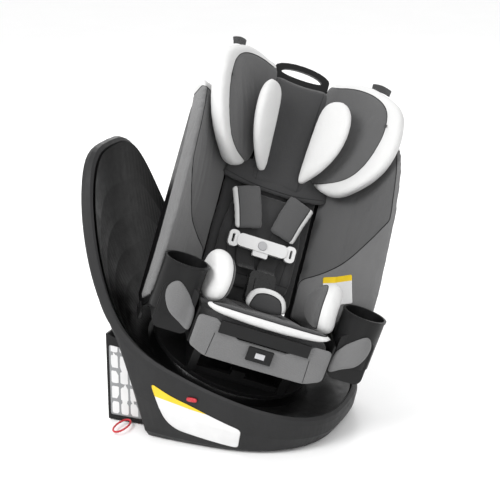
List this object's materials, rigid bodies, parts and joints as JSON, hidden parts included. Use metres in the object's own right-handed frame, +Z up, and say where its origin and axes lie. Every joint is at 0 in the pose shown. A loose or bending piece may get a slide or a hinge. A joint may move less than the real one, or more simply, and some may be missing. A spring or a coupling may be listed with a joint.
{
  "type": "rotating convertible car seat",
  "caption": "Tub base with a tall back wall carrying a turntable, a reclining bucket seat with cup holders, a sliding winged headrest, padded insert and harness.",
  "frame": {"origin": "on the floor straight below the turntable's centre, at the middle of the central anti-slip pad", "axes": "+Z up, -Y towards the front of the base, +X towards the base's left-hand side as a child facing forwards sees it; the seat is turned 63.5 degrees about the tilted turntable axis"},
  "size_m": [0.6732, 0.6154, 0.7269],
  "materials": {
    "charcoal_plastic": "fine moulded grain",
    "black_plastic": "fine moulded grain",
    "gloss_black": "semi-gloss",
    "rubber_pads": "ribbed soft rubber",
    "steel": "zinc plated",
    "label_grey": "printed film left blank",
    "label_white": "printed film left blank",
    "red_webbing": "woven webbing",
    "red_window": "gloss",
    "bushing": "turned",
    "runner_plastic": "smooth nylon",
    "foam": "expanded foam",
    "mid_grey_fabric": "knit over foam",
    "dark_grey_fabric": "knit over foam",
    "pale_fabric": "padded knit",
    "black_webbing": "woven webbing",
    "tag_grey": "woven label left blank",
    "grey_plastic": "satin",
    "white_plastic": "satin"
  },
  "bodies": {
    "base": {"base_shell": "charcoal_plastic", "bowl_liner": "black_plastic", "base_core": "black_plastic", "bottom_plate": "black_plastic", "anti_slip_pads": "rubber_pads", "base_screws": "steel", "bearing_housing": "black_plastic", "lower_race": "steel", "bearing_balls": "steel", "pivot_shaft": "steel", "lock_ring": "steel", "side_label": "label_grey", "skirt_label": "label_white", "latch_connectors": "steel", "latch_pull_loop": "red_webbing", "lock_indicator": "red_window", "hub_nut": "steel"},
    "turntable": {"upper_race": "steel", "turntable_disc": "black_plastic", "hub_bush": "bushing", "recline_rails": "black_plastic", "lock_pin_spring": "steel"},
    "lock_pin": {"lock_pin": "steel"},
    "seat": {"seat_shell": "black_plastic", "recline_runners": "runner_plastic", "seat_back_cover": "black_plastic", "cup_holder_left": "black_plastic", "cup_holder_right": "black_plastic", "arm_covers": "mid_grey_fabric", "side_foams": "foam", "side_cover_left": "mid_grey_fabric", "side_cover_right": "mid_grey_fabric", "back_cushion": "dark_grey_fabric", "seat_cushion": "dark_grey_fabric", "front_apron": "mid_grey_fabric", "insert_hips": "pale_fabric", "insert_front_roll": "pale_fabric", "insert_seat_pad": "dark_grey_fabric", "insert_back_pad": "dark_grey_fabric", "crotch_pad": "pale_fabric", "buckle_body": "gloss_black", "harness_webbing": "black_webbing", "adjuster_housing": "black_plastic"},
    "headrest": {"headrest_frame": "black_plastic", "headrest_pad": "dark_grey_fabric", "head_wing_left": "dark_grey_fabric", "head_wing_right": "dark_grey_fabric", "wing_trims": "pale_fabric", "head_pillows": "pale_fabric", "shoulder_pads": "dark_grey_fabric", "wing_tags": "tag_grey"},
    "rotation_lever": {"rotation_lever": "black_plastic"},
    "recline_lever": {"recline_lever": "black_plastic"},
    "buckle_button": {"buckle_button": "gloss_black"},
    "adjuster_button": {"adjuster_button": "grey_plastic"},
    "headrest_handle": {"headrest_handle": "black_plastic"},
    "chest_clip": {"chest_clip": "white_plastic"},
    "clip_button": {"clip_button": "grey_plastic"}
  },
  "joints": [
    {"name": "seat_rotation", "type": "hinge", "parent": "base", "child": "turntable", "pos_m": [0, 0, 0.115], "axis": [0, -0.3795, 0.9252], "continuous": true},
    {"name": "lock_pin_lift", "type": "slide", "parent": "turntable", "child": "lock_pin", "axis": [0, -0.3795, 0.9252], "range_m": [0, 0.005], "stiffness_N_per_m": 600, "deforming": ["lock_pin_spring"]},
    {"name": "seat_recline", "type": "hinge", "parent": "turntable", "child": "seat", "pos_m": [0, -0.11384, 0.39256], "axis": [-0.4462, 0.828, 0.3396], "range_deg": [-8, 6]},
    {"name": "headrest_height", "type": "slide", "parent": "seat", "child": "headrest", "axis": [0.5398, -0.0536, 0.8401], "range_m": [0, 0.1], "deforming": ["harness_webbing"]},
    {"name": "rotation_lever_pull", "type": "slide", "parent": "seat", "child": "rotation_lever", "axis": [-0.8754, -0.4827, 0.0267], "range_m": [0, 0.008], "stiffness_N_per_m": 1500},
    {"name": "recline_lever_turn", "type": "hinge", "parent": "seat", "child": "recline_lever", "pos_m": [-0.14295, 0.12595, 0.25171], "axis": [0.4462, -0.828, -0.3396], "range_deg": [0, 16], "stiffness_Nm_per_rad": 0.8},
    {"name": "buckle_button_press", "type": "slide", "parent": "seat", "child": "buckle_button", "axis": [0.6651, 0.5607, -0.4933], "range_m": [0, 0.003], "stiffness_N_per_m": 1200},
    {"name": "adjuster_button_press", "type": "slide", "parent": "seat", "child": "adjuster_button", "axis": [0.8754, 0.4827, -0.0267], "range_m": [0, 0.003], "stiffness_N_per_m": 1000},
    {"name": "headrest_handle_pull", "type": "slide", "parent": "headrest", "child": "headrest_handle", "axis": [0.5398, -0.0536, 0.8401], "range_m": [0, 0.008], "stiffness_N_per_m": 1200},
    {"name": "chest_clip_slide", "type": "slide", "parent": "seat", "child": "chest_clip", "axis": [0.5398, -0.0536, 0.8401], "range_m": [-0.045, 0]},
    {"name": "clip_button_press", "type": "slide", "parent": "chest_clip", "child": "clip_button", "axis": [0.7138, 0.5582, -0.4231], "range_m": [0, 0.0025], "stiffness_N_per_m": 800}
  ],
  "couplings": [
    {"joint": "lock_pin_lift", "follows": "rotation_lever_pull", "ratio": 0.5}
  ]
}
